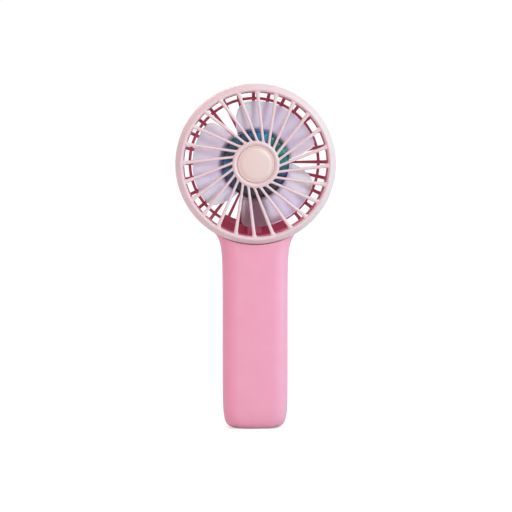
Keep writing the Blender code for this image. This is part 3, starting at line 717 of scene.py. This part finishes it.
def section(half_w, half_d, corner, z, per_corner, crown=0.0):
    points = []
    for quadrant, (sx, sy) in enumerate(((1, 1), (-1, 1), (-1, -1), (1, -1))):
        for i in range(per_corner + 1):
            a = math.radians(90.0 * quadrant + 90.0 * i / per_corner)
            x = sx * (half_w - corner) + corner * math.cos(a)
            y = sy * (half_d - corner) + corner * math.sin(a)
            points.append(Vector((x, y, z)))
        # the broad faces are slightly crowned, so the last straight run gets points of its own
        x0, y0 = points[-1].x, points[-1].y
        nx, ny = ((-1, 1), (-1, -1), (1, -1), (1, 1))[quadrant]
        x1 = nx * (half_w - corner) + (corner * math.cos(math.radians(90.0 * (quadrant + 1))))
        y1 = ny * (half_d - corner) + (corner * math.sin(math.radians(90.0 * (quadrant + 1))))
        extra = 6 if quadrant % 2 == 0 else 2
        for i in range(1, extra):
            f = i / extra
            points.append(Vector((x0 + (x1 - x0) * f, y0 + (y1 - y0) * f, z)))
    if crown:
        for p in points:
            p.y *= 1.0 - crown * (p.x / half_w) ** 2
    return points


def handle_loops(inset, low=None, high=None, per_corner=None, crown=0.05):
    per_corner = per_corner or res(14)
    low = PROFILE[0][0] if low is None else low
    high = PROFILE[-1][0] if high is None else high
    if inset > 1.0:
        heights = [low, 3.2, 4.5, 6.0, 8.0] + [z for z, _ in PROFILE if 9.4 < z < high - 0.4][::4] + [high]
    else:
        heights = [low] + [z for z, _ in PROFILE if low + 0.1 < z < high - 0.1] + [high]
    rows = []
    for z in heights:
        w = min(width_at(z), 19.9) if inset > 1.0 else width_at(z)
        d = 14.0 - max(0.0, 19.1 - w) * 0.86 if z < 20.0 else 14.0
        corner = min(9.0, d - 1.5)
        rows.append(section(w - inset, d - inset, max(2.0, corner - inset), z, per_corner, crown))
    return rows


SIDES = res(180)
LAND = 0.015
body = loft("body", handle_loops(0.0))
combine(body, "UNION", disc("drum", DRUM_R, -9.6, 9.6, SIDES, start=0.35))
combine(body, "DIFFERENCE", disc("bore", BORE_R, -40, 40, SIDES, start=0.9))
combine(body, "DIFFERENCE", disc("front_pocket", POCKET_R, -40, -DRUM_HALF, SIDES, start=1.3))
combine(body, "DIFFERENCE", disc("rear_pocket", POCKET_R, DRUM_HALF, 40, SIDES, start=1.3))
combine(body, "UNION", tube("front_tongue", 44.7, 45.6, -12.6, -8.0, SIDES, start=0.6))
combine(body, "UNION", tube("rear_tongue", 44.7, 45.6, 8.0, 12.6, SIDES, start=0.6))

combine(body, "UNION", revolve("air_lip", fillet(
    [(43.7, -9.1), (42.25, -9.1), (42.05, -8.4), (42.9, -5.6), (43.7, -5.4)], [0, 0.2, 0.3, 0.4, 0], 3), SIDES, 0.2))

cavity = loft("cavity", handle_loops(2.0, 2.3, 106.0, res(8), 0.05))
cradles = []
for z in (18.0, 38.0, 58.0):
    plate = box("cradle", (-25, -20, z), (25, 20, z + 1.6))
    combine(plate, "DIFFERENCE", disc("cell_hole", 9.5, z - 2, z + 4, 48, about_z(0, 0), 3.0))
    combine(plate, "DIFFERENCE", disc("lead_hole", 1.2, z - 2, z + 4, 16, about_z(7.55, -7.0), 3.0))
    cradles.append(plate)
combine(cavity, "DIFFERENCE", join(*cradles))
combine(cavity, "DIFFERENCE", join(*[disc("boss", 2.75, -22, 22, 32, about_y(x, z), 5.0) for x, z in SCREWS]))
combine(body, "DIFFERENCE", cavity)
combine(body, "DIFFERENCE", box("lead_passage", (-3.2, 2.6, 103.0), (3.2, 8.0, 118.0)))
combine(body, "DIFFERENCE", join(*[disc("pilot", 1.25, -9.2, 9.0, 24, about_y(x, z), 5.0) for x, z in SCREWS]))

# parting line: a shallow reveal, then the 0.3 mm gap; deeper in, the lands of the two halves all but
# meet, so no light comes through. Each cut is a slab less the body drawn in by that depth.
for depth, half in ((0.35, 0.42), (1.0, 0.15)):
    reveal = box("reveal", (-60, -half, -5), (60, half, 230))
    combine(reveal, "DIFFERENCE", loft("inset", handle_loops(depth, depth, None)))
    combine(reveal, "DIFFERENCE", disc("inset_drum", DRUM_R - depth, -3, 3, SIDES, start=0.1))
    combine(body, "DIFFERENCE", reveal)

front = body
rear = bpy.data.objects.new("rear_half", body.data.copy())
bpy.context.scene.collection.objects.link(rear)
combine(front, "DIFFERENCE", box("behind", (-80, -LAND, -20), (80, 80, 260)))
combine(rear, "DIFFERENCE", box("ahead", (-80, -80, -20), (80, LAND, 260)))

combine(rear, "DIFFERENCE", join(*[
    revolve("counterbore", [(0, 8.0), (1.25, 8.0), (1.25, 9.4), (2.5, 9.4), (2.5, 20.0), (0, 20.0)], 40, 5.0,
            place=about_y(x, z)) for x, z in SCREWS]))
combine(rear, "DIFFERENCE", revolve(
    "button_hole", [(0, 9.0), (6.15, 9.0), (6.15, 13.45), (6.3, 13.75), (6.9, 14.2), (6.9, 20.0), (0, 20.0)],
    res(96), 4.0, place=about_y(0, BUTTON_Z)))
combine(rear, "DIFFERENCE", join(*[revolve(
    "led_hole", [(0, 9.0), (1.1, 9.0), (1.1, 13.7), (1.45, 14.1), (1.45, 20.0), (0, 20.0)], 32, 4.0,
    place=about_y(x, LED_Z)) for x in (-4.5, 0.0, 4.5)]))


def oval(half_w, half_h, y, cz, steps=12, cx=0.0):
    points = []
    for quadrant, sx in ((-90, 1), (90, -1)):
        for i in range(steps + 1):
            a = math.radians(quadrant + 180.0 * i / steps)
            points.append(Vector((cx + sx * (half_w - half_h) + half_h * math.cos(a), y, cz + half_h * math.sin(a))))
    return points


combine(rear, "DIFFERENCE", loft("usb_hole", [
    oval(hw, hh, y, USB_Z) for y, hw, hh in ((9.0, 5.0, 2.15), (13.5, 5.0, 2.15), (13.7, 5.12, 2.27),
                                             (14.1, 5.5, 2.65), (20.0, 5.5, 2.65))]))
tidy(front)
tidy(rear)


def shell_pick(centre, normal):
    """The head's bore gets the handle's pink darkened with painted shade, as the rear grille does; everything else is
    the handle's pink.
    """
    return 1 if math.hypot(centre.x, centre.z - HEAD_Z) < BORE_R + 0.06 and abs(centre.y) < 12.7 else 0


finish(front, "front_shell_fine", "housing", [PINK, SHADED_PINK], ["front_shell"], angle=32.0, pick=shell_pick)
finish(rear, "rear_shell_fine", "housing", [PINK, SHADED_PINK], ["rear_shell"], angle=32.0, pick=shell_pick)

# ================================================================ rear grille
rear_rim = fillet(
    [(43.4, 9.3), (43.4, 13.7), (44.9, 15.05), (46.4, 14.5), (47.25, 12.2), (47.2, 9.3), (45.9, 9.3),
     (45.9, 12.9), (44.4, 12.9), (44.4, 9.3)],
    [0.3, 0.8, 1.0, 1.2, 1.4, 0.3, 0.2, 0.3, 0.3, 0.2], res(4))
mount_outline = fillet(
    [(7.0, 15.0), (7.0, 8.0), (5.0, 8.0), (5.0, 14.5), (0, 14.5), (0, 18.0), (9.6, 17.85), (9.9, 17.45),
     (10.9, 17.4), (11.2, 17.75), (13.4, 17.5), (17.0, 15.7), (17.0, 6.6), (15.2, 6.6), (15.2, 15.0)],
    [0.2, 0.3, 0.3, 0.2, 0, 0, 0.25, 0.2, 0.2, 0.25, 1.2, 1.2, 0.3, 0.3, 0.4], res(4))
back = revolve("rear_rim", rear_rim, ROUND, 0.4)
panel = fillet([(35.6, 14.3), (38.6, 13.9), (44.0, 11.1), (44.0, 13.4), (38.6, 16.0), (35.6, 16.5)],
               [0.2, 0.4, 0.2, 0.2, 1.0, 0.3], 3)
combine(back, "UNION", revolve("neck_panel", panel, res(40), NECK_PANEL[0], NECK_PANEL[1] - NECK_PANEL[0]))
mount = revolve("mount", mount_outline, res(120), 1.0)
wedge = fillet([(16.2, 14.7), (36.6, 14.7), (36.6, 16.75), (16.2, 16.75)], [0.1, 0.3, 0.3, 0.1], 2)
combine(mount, "UNION", revolve("wedge", wedge, res(24), WEDGE[0], WEDGE[1] - WEDGE[0]))
combine(back, "UNION", mount)
ring = fillet([(37.75, 13.8), (39.4, 13.45), (39.5, 16.45), (37.75, 16.95)], 0.55, res(4))
combine(back, "UNION", revolve("guard_ring", ring, ROUND, 0.9))
spokes = []
line = spline([(15.9, 16.08), (24.0, 16.1), (32.0, 16.08), (36.0, 15.95), (38.0, 15.5), (41.0, 13.9), (44.3, 12.4)],
              res(1.0))
for k in range(SPOKE_COUNT):
    degrees = SPOKE_PHASE + 360.0 * k / SPOKE_COUNT
    if WEDGE[0] - 3.0 < degrees < WEDGE[1] + 3.0:
        continue
    a = math.radians(degrees)
    out, side = Vector((math.cos(a), 0, math.sin(a))), Vector((-math.sin(a), 0, math.cos(a)))
    centre = Vector((0, 0, HEAD_Z))
    path = [centre + out * p.x + Vector((0, p.y, 0)) for p in line]

    def spoke_section(i):
        f = i / (len(path) - 1)
        flare = 0.35 * math.exp(-(i / 1.6) ** 2) + 0.30 * math.exp(-((len(path) - 1 - i) / 1.4) ** 2)
        half = 0.62 + 0.42 * min(1.0, f / 0.75) + flare
        return fillet([(-half, -1.1), (half, -1.1), (half * 0.86, 1.05), (-half * 0.86, 1.05)], 0.5, res(3))

    spokes.append(sweep("spoke", path, spoke_section, side))
combine(back, "UNION", join(*spokes))
combine(back, "UNION", soft_box("duct", (-4.2, 9.6, HEAD_Z - 38.8), (4.2, 15.6, HEAD_Z - 16.2), 0.7))
combine(back, "UNION", soft_box("lead_hood", (-4.4, 5.2, HEAD_Z - 42.75), (4.4, 11.9, HEAD_Z - 38.3), 0.5))
combine(back, "DIFFERENCE", box("hood_passage", (-3.3, 6.2, HEAD_Z - 44.0), (3.3, 11.3, HEAD_Z - 39.0)))
combine(back, "DIFFERENCE", box("duct_passage", (-2.6, 10.8, HEAD_Z - 42.0), (2.6, 13.4, HEAD_Z - 12.0)))
tidy(back)


def grille_pick(centre, normal):
    """The inner face of the wide spoke that carries the motor leads gets a painted shadow, a nearly dark pink."""
    r = math.hypot(centre.x, centre.z - HEAD_Z)
    degrees = math.degrees(math.atan2(centre.z - HEAD_Z, centre.x)) % 360.0
    return 1 if normal.y < 0.3 and 16.9 < r < 37.0 and WEDGE[0] - 1.0 < degrees < WEDGE[1] + 1.0 else 0


# the rear grille is the handle's pink with painted shade; the wide lead spoke's inner face carries a darker painted
# shadow
finish(back, "rear_grille_fine", "housing", [SHADED_PINK, DUCT_SHADOW], ["rear_grille"], pick=grille_pick)

# ================================================================ impeller
hub_shape = fillet(
    [(0, -11.3), (0, -13.0), (15.5, -13.0), (18.4, -12.4), (19.9, -10.4), (20.0, 5.0), (18.4, 5.0), (18.4, -10.2),
     (17.4, -11.3)],
    [0, 0, 3.0, 1.6, 1.8, 0.35, 0.3, 0.6, 0.6], res(5))
impeller = revolve("hub_cup", hub_shape, res(132), 1.2)


def blade_edge(lead, r):
    t = (r - HUB_R) / (TIP_R - HUB_R)
    return 8.0 + 9.0 * t if lead else 120.5 - 17.5 * t ** 1.25


def blade_y(u, r):
    t = (r - HUB_R) / (TIP_R - HUB_R)
    return -10.8 + (14.6 - 1.2 * t) * (0.82 * u + 0.18 * u * u)


def blade_point(turn, u, r):
    """Angle and height of the blade's middle surface, with its outer corners rounded off."""
    at = max(r, HUB_R)
    corner_lead, corner_trail = 3.2, 4.2
    lead, trail = blade_edge(True, at), blade_edge(False, at)
    for corner, sign in ((corner_lead, 1), (corner_trail, -1)):
        over = r - (TIP_R - corner)
        if over > 0:
            pull = math.degrees((corner - math.sqrt(max(0.0, corner ** 2 - over ** 2))) / r)
            if sign > 0:
                lead += pull
            else:
                trail -= pull
    return turn + lead * (1 - u) + trail * u, blade_y(u, at), lead, trail


blades = []
ACROSS, OUTWARD = res(52), res(22)
for b in range(3):
    bm = bmesh.new()
    low, high = [], []
    for j in range(OUTWARD + 1):
        r = 19.0 + (TIP_R - 19.0) * math.sin(math.pi / 2 * j / OUTWARD)
        row_low, row_high = [], []
        for i in range(ACROSS + 1):
            u = 0.5 - 0.5 * math.cos(math.pi * i / ACROSS)
            degrees, y, lead, trail = blade_point(120.0 * b, u, r)
            chord = math.radians(trail - lead) * r
            half = 0.66 - 0.22 * u + 0.55 * math.exp(-((max(r, 20.0) - 20.0) / 0.8) ** 2)
            for d in (u * chord, (1 - u) * chord, TIP_R - r):
                half *= math.sqrt(max(0.0, 1 - (1 - min(d / 0.75, 1.0)) ** 2))
            p = polar(r, degrees, y)
            if half < 1e-4:
                v = bm.verts.new(p)
                row_low.append(v)
                row_high.append(v)
            else:
                row_low.append(bm.verts.new(p + Vector((0, -half, 0))))
                row_high.append(bm.verts.new(p + Vector((0, half, 0))))
        low.append(row_low)
        high.append(row_high)
    for grid in (low, high):
        for j in range(OUTWARD):
            for i in range(ACROSS):
                corners = []
                for v in (grid[j][i], grid[j][i + 1], grid[j + 1][i + 1], grid[j + 1][i]):
                    if v not in corners:
                        corners.append(v)
                if len(corners) > 2 and bm.faces.get(corners) is None:
                    bm.faces.new(corners)
    for i in range(ACROSS):
        corners = []
        for v in (low[0][i], low[0][i + 1], high[0][i + 1], high[0][i]):
            if v not in corners:
                corners.append(v)
        if len(corners) > 2:
            bm.faces.new(corners)
    blades.append(to_object("blade", bm))
combine(impeller, "UNION", join(*blades))
tidy(impeller)
mesh = impeller.data
across = mesh.attributes.new("across", "FLOAT", "POINT")
outward = mesh.attributes.new("outward", "FLOAT", "POINT")
for i, v in enumerate(mesh.vertices):
    r = math.hypot(v.co.x, v.co.z - HEAD_Z)
    degrees = math.degrees(math.atan2(v.co.z - HEAD_Z, v.co.x)) % 120.0
    at = min(max(r, HUB_R), TIP_R)
    lead, trail = blade_edge(True, at), blade_edge(False, at)
    if degrees < lead - 6.0:
        degrees += 120.0
    across.data[i].value = min(1.0, max(0.0, (degrees - lead) / (trail - lead)))
    outward.data[i].value = min(1.0, max(0.0, (r - HUB_R) / (TIP_R - HUB_R)))


def impeller_pick(centre, normal):
    return 0 if math.hypot(centre.x, centre.z - HEAD_Z) > HUB_R + 0.12 else 1


finish(impeller, "impeller_fine", "rotor", [BLADE, HUB], ["impeller"], pick=impeller_pick, angle=40.0)

# ================================================================ controls
cap = [(0, 10.8), (7.1, 10.8), (7.1, 11.5), (5.8, 11.5), (5.8, 14.2), (5.0, 14.72)]
cap_profile = [tuple(p) for p in fillet(cap + [(4.2, 14.6)], [0, 0.2, 0.2, 0.2, 0.6, 0.5, 0.6], res(4))]
for i in range(7, -1, -1):
    r = 4.0 * i / 8
    cap_profile.append((r, 14.58 - 0.42 * (1 - (r / 4.2) ** 2)))
button = revolve("button", cap_profile, res(96), 4.0, place=about_y(0, BUTTON_Z))
finish(button, "power_button_fine", "button", BUTTON, ["power_button"])

for i, (x, z) in enumerate(SCREWS):
    head = fillet([(0, -8.8), (0.95, -8.0), (0.95, 9.7), (2.1, 9.7), (2.1, 10.35), (0.9, 11.05), (0, 11.1)],
                  [0, 0.1, 0.1, 0.12, 0.25, 0.6, 0], 3)
    screw = revolve("screw", head, 40, 5.0, place=about_y(x, z))
    turn = 20.0 + 37.0 * i
    slots = []
    for quarter in (0.0, 90.0):
        a = math.radians(turn + quarter)
        along, side = Vector((math.cos(a), 0, math.sin(a))), Vector((-math.sin(a), 0, math.cos(a)))
        loops = []
        for y, length, width in ((9.95, 0.55, 0.14), (11.6, 1.25, 0.30)):
            c = Vector((x, y, z))
            loops.append([c + along * length + side * width, c - along * length + side * width,
                          c - along * length - side * width, c + along * length - side * width])
        slots.append(loft("slot", loops))
    cross = combine(slots[0], "UNION", slots[1])
    combine(screw, "DIFFERENCE", cross)
    finish(screw, "case_screw_%d_fine" % (i + 1), "housing", SCREW, ["case_screw_%d" % (i + 1)],
           angle=30.0)

shell = loft("socket", [oval(hw, hh, y, USB_Z, 14) for y, hw, hh in (
    (6.9, 4.5, 1.65), (13.2, 4.5, 1.65), (13.35, 4.46, 1.61), (13.4, 4.40, 1.55))])
combine(shell, "DIFFERENCE", loft("mouth", [oval(hw, hh, y, USB_Z, 14) for y, hw, hh in (
    (7.8, 4.18, 1.33), (13.22, 4.18, 1.33), (13.36, 4.24, 1.39), (14.5, 4.6, 1.75))]))
finish(shell, "usb_socket_fine", "housing", STEEL, ["usb_socket"])
tongue = soft_box("tongue", (-3.3, 8.2, USB_Z - 0.35), (3.3, 12.7, USB_Z + 0.35), 0.14, 2)
finish(tongue, "usb_tongue_fine", "housing", BLACK, ["usb_tongue"])
pads = []
for face in (-1, 1):
    for k in range(12):
        x = -2.75 + 0.5 * k
        z0, z1 = sorted((USB_Z + face * 0.30, USB_Z + face * 0.375))
        pads.append(box("pad", (x - 0.13, 9.4, z0), (x + 0.13, 12.2, z1)))
contacts = join(*pads)
finish(contacts, "usb_contacts", "housing", GOLD, (), weighted=False)

pipe = soft_box("pipe_bar", (-5.6, 9.4, LED_Z - 1.0), (5.6, 10.6, LED_Z + 1.0), 0.2, 2)
pins = [revolve("pin", fillet([(0, 8.1), (0.8, 8.1), (0.8, 13.75), (0.35, 14.0), (0, 14.0)], [0, 0.05, 0.3, 0.2, 0], 3),
                28, 4.0, place=about_y(x, LED_Z)) for x in (-4.5, 0.0, 4.5)]
combine(pipe, "UNION", join(*pins))
finish(pipe, "light_pipe_fine", "housing", CLEAR, ["light_pipe"])

# ================================================================ stage, light and camera
floor_mat = Mat("studio_floor")
ray = floor_mat.add("ShaderNodeLightPath")
floor_mat.set(Base_Color=floor_mat.mix(floor_mat.noise(1.5, 2.0), (0.66, 0.66, 0.66), (0.70, 0.70, 0.70)),
              Roughness=0.85, Emission_Color=(1.0, 1.0, 1.0),
              Emission_Strength=floor_mat.maths("MULTIPLY", floor_mat.maths(
                  "MAXIMUM", ray.outputs["Is Camera Ray"], ray.outputs["Is Transmission Ray"]), 0.50))
bm = bmesh.new()
bmesh.ops.create_grid(bm, x_segments=1, y_segments=1, size=8.0)
floor = to_object("studio_floor", bm)
floor.data.materials.append(floor_mat.mat)
floor.location.z = -0.0003

world = bpy.data.worlds.new("studio")
bpy.context.scene.world = world
world.use_nodes = True
tree = world.node_tree
tree.nodes.clear()
out = tree.nodes.new("ShaderNodeOutputWorld")
seen = tree.nodes.new("ShaderNodeBackground")
seen.inputs["Color"].default_value = (1.0, 1.0, 1.0, 1.0)
seen.inputs["Strength"].default_value = 1.02
coord = tree.nodes.new("ShaderNodeTexCoord")
parts = tree.nodes.new("ShaderNodeSeparateXYZ")
tree.links.new(coord.outputs["Generated"], parts.inputs[0])
side = tree.nodes.new("ShaderNodeMapRange")
side.inputs["From Min"].default_value = -1.0
side.inputs["From Max"].default_value = 1.0
side.inputs["To Min"].default_value = 0.54
side.inputs["To Max"].default_value = 0.60
tree.links.new(parts.outputs[0], side.inputs["Value"])
rise = tree.nodes.new("ShaderNodeMapRange")
rise.inputs["From Min"].default_value = 0.0
rise.inputs["From Max"].default_value = 1.0
rise.inputs["To Min"].default_value = 0.0
rise.inputs["To Max"].default_value = 0.35
tree.links.new(parts.outputs[2], rise.inputs["Value"])
total = tree.nodes.new("ShaderNodeMath")
total.operation = "ADD"
tree.links.new(side.outputs["Result"], total.inputs[0])
tree.links.new(rise.outputs["Result"], total.inputs[1])
soft = tree.nodes.new("ShaderNodeBackground")
# the sky is a little warmer on the left and cooler on the right
cast = tree.nodes.new("ShaderNodeValToRGB")
cast.color_ramp.elements[0].position, cast.color_ramp.elements[0].color = 0.25, (1.0, 0.955, 0.955, 1.0)
cast.color_ramp.elements[1].position, cast.color_ramp.elements[1].color = 0.75, (0.92, 1.0, 1.0, 1.0)
half_x = tree.nodes.new("ShaderNodeMapRange")
half_x.inputs["From Min"].default_value = -1.0
half_x.inputs["From Max"].default_value = 1.0
tree.links.new(parts.outputs[0], half_x.inputs["Value"])
tree.links.new(half_x.outputs["Result"], cast.inputs["Fac"])
tree.links.new(cast.outputs["Color"], soft.inputs["Color"])
tree.links.new(total.outputs[0], soft.inputs["Strength"])
rays = tree.nodes.new("ShaderNodeLightPath")
choose = tree.nodes.new("ShaderNodeMixShader")
white = tree.nodes.new("ShaderNodeMath")
white.operation = "MAXIMUM"
tree.links.new(rays.outputs["Is Camera Ray"], white.inputs[0])
tree.links.new(rays.outputs["Is Transmission Ray"], white.inputs[1])
tree.links.new(white.outputs[0], choose.inputs["Fac"])
tree.links.new(soft.outputs[0], choose.inputs[1])
tree.links.new(seen.outputs[0], choose.inputs[2])
tree.links.new(choose.outputs[0], out.inputs["Surface"])


def area(name, at, towards, size, power, color=(1.0, 1.0, 1.0)):
    data = bpy.data.lights.new(name, "AREA")
    data.shape = "RECTANGLE"
    data.size, data.size_y = size
    data.energy = power
    data.color = color
    light = bpy.data.objects.new(name, data)
    bpy.context.scene.collection.objects.link(light)
    light.location = at
    light.rotation_euler = (Vector(towards) - Vector(at)).to_track_quat("-Z", "Y").to_euler()
    return light


area("key", (0.75, -0.95, 0.95), (0.0, 0.0, 0.12), (0.6, 0.6), 7.3, (0.97, 1.0, 0.99))
area("side_strip", (0.95, -0.35, 0.30), (0.0, 0.0, 0.08), (0.35, 0.9), 5.0, (0.30, 0.94, 1.0))
area("left_fill", (-0.95, -0.65, 0.25), (0.0, 0.0, 0.10), (0.5, 0.8), 2.1, (1.0, 0.70, 0.78))
area("back", (-0.5, 1.1, 0.8), (0.0, 0.0, 0.10), (0.8, 0.6), 5.0)

AZIMUTH, ELEVATION, DISTANCE = -2.0, 4.1, 1.5
target = Vector((0.00025, -0.010, 0.1030))
a, e = math.radians(AZIMUTH), math.radians(ELEVATION)
camera_data = bpy.data.cameras.new("camera")
camera_data.sensor_width = 36.0
camera_data.lens = 36.0 / (2 * (0.3034 / 2) / DISTANCE)
camera_data.clip_end = 50.0
camera = bpy.data.objects.new("camera", camera_data)
bpy.context.scene.collection.objects.link(camera)
camera.location = target + Vector((math.sin(a) * math.cos(e), -math.cos(a) * math.cos(e), math.sin(e))) * DISTANCE
camera.rotation_euler = (target - camera.location).to_track_quat("-Z", "Y").to_euler()
bpy.context.scene.camera = camera
bpy.context.scene.view_settings.view_transform = "Standard"
bpy.context.scene.view_settings.look = "None"
